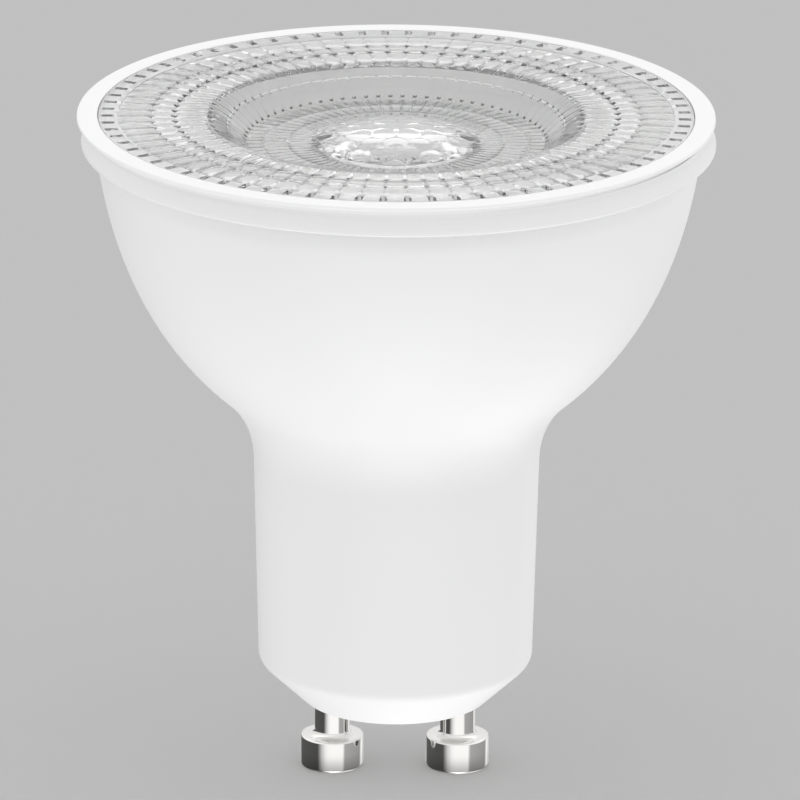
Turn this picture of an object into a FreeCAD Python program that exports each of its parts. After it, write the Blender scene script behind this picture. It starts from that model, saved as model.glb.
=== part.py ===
import FreeCAD, Part
import math
import os

# A mains spotlight lamp with a two-pin twist-lock base and a clear faceted lens, built from the
# pieces that it is assembled from. Millimetres, +Z up. The origin is on the housing's axis, in
# the plane of the two pin tips.

os.makedirs("parts", exist_ok=True)
V = FreeCAD.Vector

# Pins
PIN_SPACING = 10.0        # centre to centre
PIN_STANDOFF = 6.05       # how far the pins stand out of the base
PIN_HEAD_R = 2.5
PIN_HEAD_H = 2.6
PIN_FOOT_ROUND = 0.5      # hollow curve where the shank rises from the head
PIN_SHANK_R = 1.4
PIN_TIP_ROUND = 0.3
PIN_BORE_R = 0.62         # hollow that takes the input lead
PIN_BORE_FLOOR = 4.6      # bottom of that hollow above the pin's tip
PIN_RIVET_R = 1.9         # rolled collar that holds the pin down on its boss
PIN_RIVET_H = 0.55
PIN_FIT = 0.02

# Housing
WALL = 1.4
BASE_R = 7.4
BASE_ROUND = 0.25
CHAMFER_H = 3.3           # height of the cone between the base and the neck
CHAMFER_ROUND = 1.2
NECK_R = 10.87            # at the top of that cone
NECK_DRAFT = 1.45         # degrees
NECK_TOP_Z = 26.0         # where the neck starts to flare
THROAT_R = 7.8            # hollow curve between the neck and the bowl
FLARE = 49.4              # steepest lean of the bowl from the vertical, degrees
BOWL_LEAN = 8.3           # lean of the bowl under the band, degrees
BOWL_LOW_PULL = 0.47      # how fully the bowl curves, low and high, as shares of its chord
BOWL_HIGH_PULL = 0.16
BAND_INSET = 0.18         # lower edge of the band round the mouth, inside the rim
BAND_TAPER = 0.27         # upper edge of the band inside its lower one
BAND_STEP = 1.04          # bowl inside the band's lower edge
BAND_H = 1.6              # from the lip down to the band's lower edge
MOUTH_WALL = 0.29         # wall of the mouth at the band's upper edge
BAND_ROUND = 0.14
BOSS_R = 2.2              # round each pin
BOSS_H = 3.0
SHELF_RISE = 0.9          # shelf under the heat sink, above the end of the throat
RAIL_T = 1.0              # ribs that hold the driver board's edges
RAIL_REACH = 1.1

# Front ring and lens
LAMP_H = 54.25            # pin tips to the front of the ring
RIM_R = 25.0
LIP_T = 0.75
LIP_ROUND = 0.3
LIP_CHAMFER = 0.42        # under the lip's edge, which leaves a groove above the band
SKIRT_T = 0.36
SKIRT_GAP = 0.1           # under the skirt
RING_PLAY = 0.25          # round the skirt, in the housing's mouth
RING_SHIFT = -0.2         # the ring and lens sit to one side within that play
LENS_SINK = 0.05          # the lens's face below the lip's
LENS_BEVEL = 0.3
LENS_BEVEL_H = 0.6
LENS_EDGE_T = 1.05
LENS_CLEAR = 0.05

# Optics of the lens: widths of its rings from the edge inwards, and depths below its face
FACETS = 76               # round each ring
RIB_W = 1.0
RING_OUTER_W = 3.1
RING_MIDDLE_W = 1.8
RING_INNER_W = 2.6
DISH_WALL_W = 1.6
DISH_STEP_W = 1.5
DISH_STEP_DEPTH = 0.8
DISH_DEPTH = 2.1
LENS_FLOOR_T = 1.4
DOME_R = 6.8
DOME_RISE = 1.2
HEX_ROWS = 7              # across the dome
HEX_GAP = 0.16
HEX_GROOVE = 0.14
BULGE_R = 6.0             # rounded underside opposite the dome
BULGE_DROP = 0.8
RING_NOTCH = 0.16         # depth of the circular notches
FACET_DEPTH = 0.14
RIB_DEPTH = 0.35
FACET_SHARE = 0.94        # of the pitch that each radial notch takes up
RIB_SHARE = 0.5
CUT_OVER = 0.01           # cutters start this far outside what they cut

# Heat sink, light source and its fixings
CUP_T = 0.6
CUP_FLOOR_T = 1.0
CUP_GAP = 0.25            # between the cup and the bowl
CUP_RIM_GAP = 0.86        # between the cup's rim and the mouth
PAD_T = 0.25
LED_BOARD_T = 1.0
LED_BOARD_CLEAR = 0.8
COB_SIDE = 11.0
COB_T = 0.6
DAM_R = 4.6
DAM_T = 0.6
DAM_H = 0.4
PHOSPHOR_CROWN = 0.15
SCREW_R = 1.0
SCREW_L = 5.2
SCREW_HEAD_R = 1.9
SCREW_HEAD_H = 1.3
SCREW_SLOT = 0.5
SCREW_SLOT_REACH = 0.65   # half the cross's length, as a share of the head's radius
SCREW_CLEAR = 0.15
SCREW_FIT = 0.02
SCREW_INSET = 1.3         # screw axis inside the neck's bore
SCREW_BOSS_R = 1.9
SCREW_BOSS_DEPTH = 0.5    # solid stock under the screw's end
LEAD_HOLE_R = 0.8
LEAD_HOLE_INSET = 1.0     # lead holes nearer the axis than the screws

# Driver, the places of its parts given along the board from its middle and up from its lower edge
BOARD_T = 1.0
BOARD_SETBACK = 3.2       # middle of the board behind the axis
BOARD_GAP = 0.1           # round the board's edges in the rails
BOARD_RISE = 1.0          # bottom edge above the rivets
BOARD_HEADROOM = 1.6      # top edge below the heat sink
PART_GAP = 0.2            # between a component's body and the board
BULK_R = 3.15
BULK_H = 10.0
BULK_X = -3.0
BULK_RISE = 4.4
CAN_LEAD_DROP = 0.9       # its leads' bend below the can
OUTPUT_R = 2.5
OUTPUT_H = 6.0
OUTPUT_X = 2.95
OUTPUT_RISE = 5.9
CHOKE_R = 2.9
CHOKE_H = 6.0
CHOKE_X = 4.0
CHOKE_RISE = 11.4
CHOKE_FLANGE = 0.9
CHOKE_CORE_R = 1.4
CHOKE_WIRE_GAP = 0.3
FILM_SIZE = (6.4, 5.4, 2.8)
RESISTOR_R = 1.15
RESISTOR_L = 5.6
RESISTOR_SPAN = 8.4
RESISTOR_RISE = 2.4
WIRE_R = 0.3              # component leads
BRIDGE_SIZE = (4.7, 2.4, 3.9)
BRIDGE_X = -3.4
BRIDGE_RISE = 8.0
CHIP_SIZE = (3.9, 1.5, 4.9)
CHIP_X = 3.2
CHIP_RISE = 12.0
LEG_T = 0.25
LEG_REACH = 0.8

# Leads between the pins, the driver board and the light source
LEAD_R = 0.5
INPUT_LEAD_RISE = 3.0     # where it meets the board, above the board's lower edge
INPUT_LEAD_BEND = 1.6     # height over which it turns towards the board
OUTPUT_LEAD_DROP = 3.8    # where it leaves the board, below the board's top
OUTPUT_LEAD_SHIFT = 1.2   # sideways from there to its hole
OUTPUT_LEAD_BEND = 1.8
OUTPUT_LEAD_RISE = 1.05   # straight part above the light source's board
OUTPUT_LEAD_TURN = 0.9    # and the bend over it
OUTPUT_PAD_Y = 3.4

# Levels and places that follow from the sizes above
AXIS = V(0, 0, 1)
DRAFT = math.radians(NECK_DRAFT)
FLARE_A = math.radians(FLARE)
LEAN_A = math.radians(BOWL_LEAN)
BASE_Z = PIN_STANDOFF
CHAMFER_TOP_Z = BASE_Z + CHAMFER_H
NECK_TOP_R = NECK_R + (NECK_TOP_Z - CHAMFER_TOP_Z) * math.tan(DRAFT)
THROAT_X = NECK_TOP_R + THROAT_R * math.cos(DRAFT)
THROAT_Z = NECK_TOP_Z - THROAT_R * math.sin(DRAFT)
THROAT_END_Z = THROAT_Z + THROAT_R * math.sin(FLARE_A)
FLOOR_Z = BASE_Z + WALL
SHELF_Z = THROAT_END_Z + SHELF_RISE
CUP_FLOOR_Z = SHELF_Z + CUP_FLOOR_T
LED_BOARD_Z = CUP_FLOOR_Z + PAD_T
LED_FACE_Z = LED_BOARD_Z + LED_BOARD_T
LENS_TOP_Z = LAMP_H - LENS_SINK
LENS_SEAT_Z = LENS_TOP_Z - LENS_EDGE_T
LEDGE_Z = LENS_SEAT_Z - CUP_T
LIP_UNDER_Z = LAMP_H - LIP_T
BAND_Z = LIP_UNDER_Z - BAND_H
BAND_R = RIM_R - BAND_INSET
BAND_TOP_R = BAND_R - BAND_TAPER
BOWL_R = BAND_R - BAND_STEP
MOUTH_R = BAND_TOP_R - MOUTH_WALL
SKIRT_R = MOUTH_R - RING_PLAY
SKIRT_INNER_R = SKIRT_R - SKIRT_T
LENS_OUTER_R = SKIRT_INNER_R - LENS_CLEAR
LENS_R = LENS_OUTER_R - LENS_BEVEL
RIB_INNER_R = LENS_R - RIB_W
RING_OUTER_R = RIB_INNER_R - RING_OUTER_W
RING_MIDDLE_R = RING_OUTER_R - RING_MIDDLE_W
DISH_R = RING_MIDDLE_R - RING_INNER_W
DISH_STEP_R = DISH_R - DISH_WALL_W
DISH_FLOOR_R = DISH_STEP_R - DISH_STEP_W
DISH_FLOOR_Z = LENS_TOP_Z - DISH_DEPTH
CUP_RIM_R = MOUTH_R - CUP_RIM_GAP
CUP_SKIN = WALL + CUP_GAP
BOSS_TOP_Z = FLOOR_Z + BOSS_H
RIVET_TOP_Z = BOSS_TOP_Z + PIN_RIVET_H
BOARD_BOTTOM_Z = RIVET_TOP_Z + BOARD_RISE
BOARD_TOP_Z = SHELF_Z - BOARD_HEADROOM
BOARD_FRONT_Y = -BOARD_SETBACK + BOARD_T / 2
BOARD_BACK_Y = BOARD_FRONT_Y - BOARD_T


def rounded_path(corners):
    """Edges through corners (x, z, rounding) in the XZ plane, each inner corner an arc."""
    points = [V(c[0], 0, c[1]) for c in corners]
    edges = []
    start = points[0]
    for i in range(1, len(points) - 1):
        before = (points[i - 1] - points[i]).normalize()
        after = (points[i + 1] - points[i]).normalize()
        radius = corners[i][2] if len(corners[i]) > 2 else 0.0
        if radius <= 0:
            edges.append(Part.LineSegment(start, points[i]).toShape())
            start = points[i]
            continue
        half = before.getAngle(after) / 2
        room = 0.48 * min((points[i - 1] - points[i]).Length, (points[i + 1] - points[i]).Length)
        cut = min(radius / math.tan(half), room)
        first = points[i] + before * cut
        last = points[i] + after * cut
        centre = points[i] + (before + after).normalize() * (cut / math.cos(half))
        middle = centre + (points[i] - centre).normalize() * (cut * math.tan(half))
        edges.append(Part.LineSegment(start, first).toShape())
        edges.append(Part.Arc(first, middle, last).toShape())
        start = last
    edges.append(Part.LineSegment(start, points[-1]).toShape())
    return edges


def turned(edges, x=0.0, y=0.0):
    """Solid turned about the vertical line at x, y from a closed outline beside the axis."""
    solid = Part.Face(Part.Wire(edges)).revolve(V(0, 0, 0), AXIS, 360)
    solid.translate(V(x, y, 0))
    return solid


def turned_corners(corners, x=0.0, y=0.0):
    """Solid turned from a closed outline of corners (radius, z, rounding)."""
    return turned(rounded_path(list(corners) + [corners[0]]), x, y)


def cylinder(radius, low, high, x=0.0, y=0.0):
    """Upright cylinder between two levels."""
    return Part.makeCylinder(radius, high - low, V(x, y, low))


def standing(radius, depth, x, z, y=BOARD_FRONT_Y):
    """Cylinder that stands out of the driver board's front, along +Y."""
    return Part.makeCylinder(radius, depth, V(x, y, z), V(0, 1, 0))


def block(low, high):
    """Box between two corners."""
    return Part.makeBox(high[0] - low[0], high[1] - low[1], high[2] - low[2], V(*low))


def inset(points, distance):
    """Open outline of (x, z) points, moved to its left by a distance, corners kept sharp."""
    normals = []
    for a, b in zip(points, points[1:]):
        length = math.hypot(b[0] - a[0], b[1] - a[1])
        normals.append(((a[1] - b[1]) / length, (b[0] - a[0]) / length))
    moved = []
    for i, point in enumerate(points):
        one = normals[max(i - 1, 0)]
        two = normals[min(i, len(normals) - 1)]
        share = distance / (1 + one[0] * two[0] + one[1] * two[1])
        moved.append((point[0] + share * (one[0] + two[0]), point[1] + share * (one[1] + two[1])))
    return moved


def bowl_poles(skin):
    """The four poles of the bowl's curve, a distance skin inside the housing's outer face."""
    reach = THROAT_R + skin
    low = (THROAT_X - reach * math.cos(FLARE_A), THROAT_Z + reach * math.sin(FLARE_A))
    high = (BOWL_R - skin * math.cos(LEAN_A), BAND_Z + skin * math.sin(LEAN_A))
    chord = math.hypot(high[0] - low[0], high[1] - low[1])
    lower = BOWL_LOW_PULL * chord
    upper = BOWL_HIGH_PULL * chord
    return [
        low,
        (low[0] + lower * math.sin(FLARE_A), low[1] + lower * math.cos(FLARE_A)),
        (high[0] - upper * math.sin(LEAN_A), high[1] - upper * math.cos(LEAN_A)),
        high,
    ]


def bowl_radius(z, skin):
    """Radius of the bowl's curve at a level, a distance skin inside the outer face."""
    poles = bowl_poles(skin)
    low, high = 0.0, 1.0
    for _ in range(40):
        t = (low + high) / 2
        shares = ((1 - t) ** 3, 3 * t * (1 - t) ** 2, 3 * t * t * (1 - t), t ** 3)
        level = sum(s * p[1] for s, p in zip(shares, poles))
        low, high = (t, high) if level < z else (low, t)
    return sum(s * p[0] for s, p in zip(shares, poles))


def bowl_edges(skin):
    """Throat and bowl curves from the neck's top upwards, a distance skin inside."""
    reach = THROAT_R + skin
    ends = [DRAFT, (DRAFT + FLARE_A) / 2, FLARE_A]
    arc = [V(THROAT_X - reach * math.cos(a), 0, THROAT_Z + reach * math.sin(a)) for a in ends]
    curve = Part.BezierCurve()
    curve.setPoles([V(x, 0, z) for x, z in bowl_poles(skin)])
    return [Part.Arc(*arc).toShape(), curve.toShape()]


def bowl_fill(skin, low, high):
    """The whole inside of the bowl between two levels, up to skin inside the outer face."""
    curves = bowl_edges(skin)
    foot = curves[0].Vertexes[0].Point
    top = curves[-1].Vertexes[-1].Point
    edges = rounded_path([(0, foot.z), (foot.x, foot.z)]) + curves
    edges += rounded_path([(top.x, top.z), (top.x, high + WALL), (0, high + WALL), (0, foot.z)])
    return turned(edges).common(cylinder(2 * RIM_R, low, high))


def base_outline(skin):
    """Corner points from the axis, round the base and up the neck, a distance skin inside."""
    outer = [(0, BASE_Z), (BASE_R, BASE_Z), (NECK_R, CHAMFER_TOP_Z), (NECK_TOP_R, NECK_TOP_Z)]
    return inset(outer, skin)


# Places that follow from the inner outlines of the housing and the cup
NECK_BORE_R = base_outline(WALL)[-1][0]
SCREW_Y = NECK_BORE_R - SCREW_INSET
SCREW_END_Z = LED_FACE_Z - SCREW_L
LED_BOARD_R = bowl_radius(CUP_FLOOR_Z, CUP_SKIN + CUP_T) - LED_BOARD_CLEAR
LED_LEAD_X = SCREW_Y - LEAD_HOLE_INSET
BOARD_HALF_W = math.sqrt(base_outline(WALL)[2][0] ** 2 - BOARD_BACK_Y ** 2) - 2 * BOARD_GAP


def housing():
    """One moulding: base, neck, bowl and the band round its mouth."""
    outline = base_outline(0)
    corners = [outline[0], outline[1] + (BASE_ROUND,), outline[2] + (CHAMFER_ROUND,), outline[3]]
    rim = [
        (BOWL_R, BAND_Z),
        (BAND_R, BAND_Z, BAND_ROUND),
        (BAND_TOP_R, LIP_UNDER_Z, BAND_ROUND),
        (MOUTH_R, LIP_UNDER_Z),
        (0, LIP_UNDER_Z),
        (0, BASE_Z),
    ]
    body = turned(rounded_path(corners) + bowl_edges(0) + rounded_path(rim))

    # The hollow: the neck's bore up to the shelf, the bowl above it, and the mouth
    inner = base_outline(WALL)
    bore = [inner[0], inner[1], inner[2], (NECK_BORE_R, NECK_TOP_Z), (NECK_BORE_R, SHELF_Z), (0, SHELF_Z)]
    body = body.cut(turned_corners(bore))
    body = body.cut(bowl_fill(WALL, SHELF_Z, LEDGE_Z))
    body = body.cut(cylinder(MOUTH_R, LEDGE_Z, LAMP_H))

    # Bosses for the pins and the screws, and the rails for the driver board
    within = turned(rounded_path(corners + [(0, NECK_TOP_Z), (0, BASE_Z)]))
    rails = []
    for side in (-1, 1):
        body = body.fuse(cylinder(BOSS_R, FLOOR_Z - WALL / 2, BOSS_TOP_Z, side * PIN_SPACING / 2))
        boss = cylinder(SCREW_BOSS_R, SCREW_END_Z - SCREW_BOSS_DEPTH, SHELF_Z, 0, side * SCREW_Y)
        body = body.fuse(boss.common(cylinder(NECK_BORE_R + WALL / 2, 0, SHELF_Z)))
        ends = sorted((side * (BOARD_HALF_W - RAIL_REACH), side * NECK_R))
        reach = BOARD_T / 2 + BOARD_GAP + RAIL_T
        low = (ends[0], -BOARD_SETBACK - reach, BOARD_BOTTOM_Z - BOARD_RISE)
        high = (ends[1], -BOARD_SETBACK + reach, NECK_TOP_Z)
        rails.append(block(low, high).common(within))
    body = body.fuse(rails)
    slot = BOARD_HALF_W + BOARD_GAP
    low = (-slot, BOARD_BACK_Y - BOARD_GAP, BOARD_BOTTOM_Z)
    high = (slot, BOARD_FRONT_Y + BOARD_GAP, SHELF_Z)
    body = body.cut(block(low, high))
    for side in (-1, 1):
        body = body.cut(cylinder(PIN_SHANK_R + PIN_FIT, 0, BOSS_TOP_Z, side * PIN_SPACING / 2))
        body = body.cut(cylinder(SCREW_R + SCREW_FIT, SCREW_END_Z - SCREW_FIT, SHELF_Z, 0, side * SCREW_Y))
    return body.removeSplitter()


def pin(side):
    """Hollow turned pin with its wide head, held down by a collar rolled over the boss."""
    corners = [
        (0, 0),
        (PIN_HEAD_R, 0, PIN_TIP_ROUND),
        (PIN_HEAD_R, PIN_HEAD_H, PIN_TIP_ROUND / 2),
        (PIN_SHANK_R, PIN_HEAD_H, PIN_FOOT_ROUND),
        (PIN_SHANK_R, BOSS_TOP_Z),
        (PIN_RIVET_R, BOSS_TOP_Z),
        (PIN_RIVET_R, RIVET_TOP_Z, PIN_TIP_ROUND),
        (PIN_BORE_R, RIVET_TOP_Z),
        (PIN_BORE_R, PIN_BORE_FLOOR),
        (0, PIN_BORE_FLOOR),
    ]
    return turned_corners(corners, side * PIN_SPACING / 2)


def front_ring():
    """Ring with a lip over the housing's mouth and a skirt that holds the lens."""
    corners = [
        (LENS_R + LENS_CLEAR, LAMP_H),
        (RIM_R, LAMP_H, LIP_ROUND),
        (RIM_R, LIP_UNDER_Z + LIP_CHAMFER),
        (RIM_R - LIP_CHAMFER, LIP_UNDER_Z),
        (SKIRT_R, LIP_UNDER_Z),
        (SKIRT_R, LEDGE_Z + SKIRT_GAP),
        (SKIRT_INNER_R, LEDGE_Z + SKIRT_GAP),
        (SKIRT_INNER_R, LENS_TOP_Z - LENS_BEVEL_H),
    ]
    return turned_corners(corners, RING_SHIFT)


def arc_middle(radius, level, rise):
    """A point a little way along a cap of this radius and rise, for an arc through it."""
    ball = (radius ** 2 + rise ** 2) / (2 * abs(rise))
    x = radius / 2
    drop = ball - math.sqrt(ball ** 2 - x ** 2)
    return V(x, 0, level + rise - math.copysign(drop, rise))


def cap_edge(radius, level, rise):
    """Arc over a cap, from its rim to its crown on the axis."""
    return Part.Arc(V(radius, 0, level), arc_middle(radius, level, rise), V(0, 0, level + rise)).toShape()


def lens_blank():
    """The lens as turned: stepped face, dish with a dome in it, and a rounded underside."""
    top = LENS_TOP_Z
    floor = DISH_FLOOR_Z
    under = floor - LENS_FLOOR_T
    steps = [(LENS_OUTER_R, LENS_SEAT_Z), (LENS_OUTER_R, top - LENS_BEVEL_H), (LENS_R, top)]
    for radius in (RIB_INNER_R, RING_OUTER_R, RING_MIDDLE_R):
        steps += [(radius + RING_NOTCH, top), (radius, top - RING_NOTCH), (radius - RING_NOTCH, top)]
    steps += [(DISH_R, top), (DISH_STEP_R, top - DISH_STEP_DEPTH), (DISH_FLOOR_R, floor), (DOME_R, floor)]
    crown = floor + DOME_RISE - HEX_GROOVE
    nadir = under - BULGE_DROP
    lip = DISH_FLOOR_R + LENS_FLOOR_T / 2
    edges = rounded_path(steps)
    edges.append(cap_edge(DOME_R, floor, DOME_RISE - HEX_GROOVE))
    edges += rounded_path([(0, crown), (0, nadir)])
    edges.append(cap_edge(BULGE_R, under, -BULGE_DROP))
    edges += rounded_path([(BULGE_R, under), (lip, under), (DISH_R, LENS_SEAT_Z), steps[0]])
    return turned(edges)


def dome_pads():
    """Hexagonal pads all over the dome, trimmed to its round face, with grooves between them."""
    low = DISH_FLOOR_Z
    rim = low + HEX_GROOVE
    crown = low + DOME_RISE
    sides = rounded_path([(0, crown), (0, low), (DOME_R, low), (DOME_R, rim)])
    cap = turned([cap_edge(DOME_R, rim, DOME_RISE - HEX_GROOVE)] + sides)
    pitch = 2 * DOME_R / HEX_ROWS
    corner = (pitch - HEX_GAP) / math.sqrt(3)
    turns = [math.radians(60 * i + 30) for i in range(7)]
    pads = []
    for row in range(-HEX_ROWS // 2, HEX_ROWS // 2 + 1):
        y = row * pitch * math.sqrt(3) / 2
        for column in range(-HEX_ROWS, HEX_ROWS + 1):
            x = (column + row % 2 / 2) * pitch
            if math.hypot(x, y) > DOME_R:
                continue
            outline = [V(x + corner * math.cos(t), y + corner * math.sin(t), low) for t in turns]
            pads.append(Part.Face(Part.makePolygon(outline)).extrude(V(0, 0, crown - low)))
    return cap.common(Part.makeCompound(pads))


def radial_notch(inner, outer, depth, share):
    """Cutter for one notch between two points (radius, z), its width and depth growing outwards."""
    half = math.pi / FACETS * share
    rings = []
    for radius, level in (inner, outer):
        wide = radius * math.tan(half)
        tip = level - depth * radius / outer[0]
        rings.append([V(radius, -wide, level), V(radius, wide, level), V(radius, 0, tip)])
    faces = [Part.Face(Part.makePolygon(ring + [ring[0]])) for ring in rings]
    for i in range(3):
        j = (i + 1) % 3
        quad = [rings[0][i], rings[0][j], rings[1][j], rings[1][i], rings[0][i]]
        faces.append(Part.Face(Part.makePolygon(quad)))
    return Part.Solid(Part.Shell(faces))


def lens():
    """The lens with its facets, cut as notches in even rings round the axis, and its dome of pads."""
    top = LENS_TOP_Z + CUT_OVER
    step = top - DISH_STEP_DEPTH
    foot = DISH_FLOOR_Z + FACET_DEPTH
    zones = [
        ((RIB_INNER_R + RING_NOTCH, top), (LENS_OUTER_R, top), RIB_DEPTH, RIB_SHARE),
        ((DISH_R - CUT_OVER, top), (RIB_INNER_R - RING_NOTCH, top), FACET_DEPTH, FACET_SHARE),
        ((DISH_FLOOR_R, foot), (DISH_STEP_R, step), FACET_DEPTH, FACET_SHARE),
    ]
    cutters = []
    for inner, outer, depth, share in zones:
        notch = radial_notch(inner, outer, depth, share)
        for i in range(FACETS):
            copy = notch.copy()
            copy.rotate(V(0, 0, 0), AXIS, 360 * (i + 0.5) / FACETS)
            cutters.append(copy)
    solid = lens_blank().cut(Part.makeCompound(cutters)).fuse(dome_pads().Solids)
    solid.translate(V(RING_SHIFT, 0, 0))
    return solid


def heat_sink():
    """Pressed aluminium cup: it hangs by its rim in the mouth and rests on the shelf."""
    shell = bowl_fill(CUP_SKIN, SHELF_Z, LEDGE_Z + CUP_T)
    shell = shell.fuse(cylinder(CUP_RIM_R, LEDGE_Z, LENS_SEAT_Z))
    shell = shell.cut(bowl_fill(CUP_SKIN + CUP_T, CUP_FLOOR_Z, LENS_SEAT_Z))
    shell = shell.cut(fixing_holes(SHELF_Z, CUP_FLOOR_Z))
    return shell.removeSplitter()


def fixing_holes(low, high):
    """Cutters for the two screws and the two output leads, between two levels."""
    holes = []
    for side in (-1, 1):
        holes.append(cylinder(SCREW_R + SCREW_CLEAR, low, high, 0, side * SCREW_Y))
        holes.append(cylinder(LEAD_HOLE_R, low, high, side * LED_LEAD_X, 0))
    return Part.makeCompound(holes)


def drilled_disc(radius, low, high):
    """Round plate with the fixing holes in it."""
    return cylinder(radius, low, high).cut(fixing_holes(low, high))


def led_package():
    """Carrier plate of the light source with the raised ring that holds its coating."""
    half = COB_SIDE / 2
    plate = block((-half, -half, LED_FACE_Z), (half, half, LED_FACE_Z + COB_T))
    top = LED_FACE_Z + COB_T
    dam = cylinder(DAM_R + DAM_T, top, top + DAM_H).cut(cylinder(DAM_R, top, top + DAM_H))
    return plate.fuse(dam)


def led_phosphor():
    """Coating poured inside the ring, slightly crowned."""
    low = LED_FACE_Z + COB_T
    high = low + DAM_H
    sides = rounded_path([(0, high + PHOSPHOR_CROWN), (0, low), (DAM_R, low), (DAM_R, high)])
    return turned([cap_edge(DAM_R, high, PHOSPHOR_CROWN)] + sides)


def board_screws():
    """The two screws that hold the light source's board and the cup down on the housing."""
    solids = []
    for side in (-1, 1):
        head_top = LED_FACE_Z + SCREW_HEAD_H
        corners = [
            (0, SCREW_END_Z),
            (SCREW_R, SCREW_END_Z, SCREW_R / 2),
            (SCREW_R, LED_FACE_Z),
            (SCREW_HEAD_R, LED_FACE_Z),
            (SCREW_HEAD_R, head_top, SCREW_HEAD_H / 2),
            (0, head_top),
        ]
        screw = turned_corners(corners, 0, side * SCREW_Y)
        arm = SCREW_HEAD_R * SCREW_SLOT_REACH
        half = SCREW_SLOT / 2
        for long, short in ((arm, half), (half, arm)):
            low = (-long, side * SCREW_Y - short, head_top - SCREW_HEAD_H / 2)
            high = (long, side * SCREW_Y + short, head_top)
            screw = screw.cut(block(low, high))
        solids.append(screw)
    return Part.makeCompound(solids)


def driver_board():
    """Upright board whose edges stand in the housing's rails."""
    low = (-BOARD_HALF_W, BOARD_BACK_Y, BOARD_BOTTOM_Z)
    high = (BOARD_HALF_W, BOARD_FRONT_Y, BOARD_TOP_Z)
    return block(low, high)


def route(points):
    """Straight runs joined by tangent arcs, each as large as its two runs allow."""
    points = [V(*p) for p in points]
    edges = []
    radii = []
    start = points[0]
    for before, corner, after in zip(points, points[1:], points[2:]):
        one = before - corner
        two = after - corner
        cut = 0.45 * min(one.Length, two.Length)
        one.normalize()
        two.normalize()
        half = one.getAngle(two) / 2
        first = corner + one * cut
        last = corner + two * cut
        radius = cut * math.tan(half)
        centre = corner + (one + two).normalize() * (cut / math.cos(half))
        middle = centre + (corner - centre).normalize() * radius
        edges.append(Part.LineSegment(start, first).toShape())
        edges.append(Part.Arc(first, middle, last).toShape())
        radii.append(radius)
        start = last
    edges.append(Part.LineSegment(start, points[-1]).toShape())
    return Part.Wire(edges), radii


def tube(name, points, radius):
    """Round wire along a route, with its bends and its volume printed as a check."""
    path, radii = route(points)
    heading = V(*points[1]) - V(*points[0])
    section = Part.Wire(Part.makeCircle(radius, V(*points[0]), heading))
    solid = path.makePipeShell([section], True, False)
    expected = math.pi * radius ** 2 * path.Length
    bends = " ".join("%.2f" % r for r in radii)
    share = solid.Volume / expected
    print("%s: length %.1f, bends %s, volume %.4f of expected" % (name, path.Length, bends, share))
    return solid


def input_lead(side):
    """Wire from the bottom of a pin's hollow up to the front of the driver board."""
    x = side * PIN_SPACING / 2
    high = BOARD_BOTTOM_Z + INPUT_LEAD_RISE
    points = [
        (x, 0, PIN_BORE_FLOOR),
        (x, 0, high - INPUT_LEAD_BEND),
        (x, BOARD_FRONT_Y * 0.45, high),
        (x, BOARD_FRONT_Y, high),
    ]
    return tube("input lead", points, LEAD_R)


def output_lead(side):
    """Wire from the driver board up through the cup, over to its pad on the lit side."""
    x = side * LED_LEAD_X
    start = side * (LED_LEAD_X - OUTPUT_LEAD_SHIFT)
    low = BOARD_TOP_Z - OUTPUT_LEAD_DROP
    rise = LED_FACE_Z + OUTPUT_LEAD_RISE
    crest = rise + OUTPUT_LEAD_TURN
    points = [
        (start, BOARD_FRONT_Y, low),
        (start, BOARD_FRONT_Y + OUTPUT_LEAD_BEND, low),
        (x, 0, low + OUTPUT_LEAD_BEND),
        (x, 0, rise),
        (x, OUTPUT_LEAD_TURN, crest),
        (x, OUTPUT_PAD_Y - OUTPUT_LEAD_TURN, crest),
        (x, OUTPUT_PAD_Y, rise),
        (x, OUTPUT_PAD_Y, LED_FACE_Z),
    ]
    return tube("output lead", points, LEAD_R)


def bulk_capacitor():
    """Mains smoothing capacitor: a can beside the board, with two leads bent over to it."""
    y = BOARD_FRONT_Y + PART_GAP + BULK_R
    low = BOARD_BOTTOM_Z + BULK_RISE
    bead = BULK_R / 5
    corners = [
        (0, low),
        (BULK_R, low, bead),
        (BULK_R, low + bead * 2),
        (BULK_R - bead / 3, low + bead * 2.5),
        (BULK_R, low + bead * 3),
        (BULK_R, low + BULK_H, bead),
        (0, low + BULK_H),
    ]
    solid = turned_corners(corners, BULK_X, y)
    bend = low - CAN_LEAD_DROP
    for side in (-1, 1):
        x = BULK_X + side * BULK_R / 2.5
        points = [(x, y, low), (x, y, bend), (x, BOARD_FRONT_Y, bend)]
        solid = solid.fuse(tube("capacitor lead", points, WIRE_R))
    return solid


def output_capacitor():
    """Smaller capacitor that stands straight out of the board."""
    body = standing(OUTPUT_R, OUTPUT_H, OUTPUT_X, BOARD_BOTTOM_Z + OUTPUT_RISE)
    return body.makeFillet(OUTPUT_R / 6, body.Edges)


def choke_cylinder(radius, inset=0.0):
    """Cylinder on the inductor's axis, its ends a distance inside the inductor's own."""
    length = CHOKE_H - 2 * inset
    return standing(radius, length, CHOKE_X, BOARD_BOTTOM_Z + CHOKE_RISE, BOARD_FRONT_Y + inset)


def inductor_core():
    """Drum core that stands out of the board."""
    waist = choke_cylinder(2 * CHOKE_R, CHOKE_FLANGE).cut(choke_cylinder(CHOKE_CORE_R))
    return choke_cylinder(CHOKE_R).cut(waist)


def inductor_winding():
    """Wire wound on the core's waist, as one ring."""
    return choke_cylinder(CHOKE_R - CHOKE_WIRE_GAP, CHOKE_FLANGE).cut(choke_cylinder(CHOKE_CORE_R))


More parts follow.
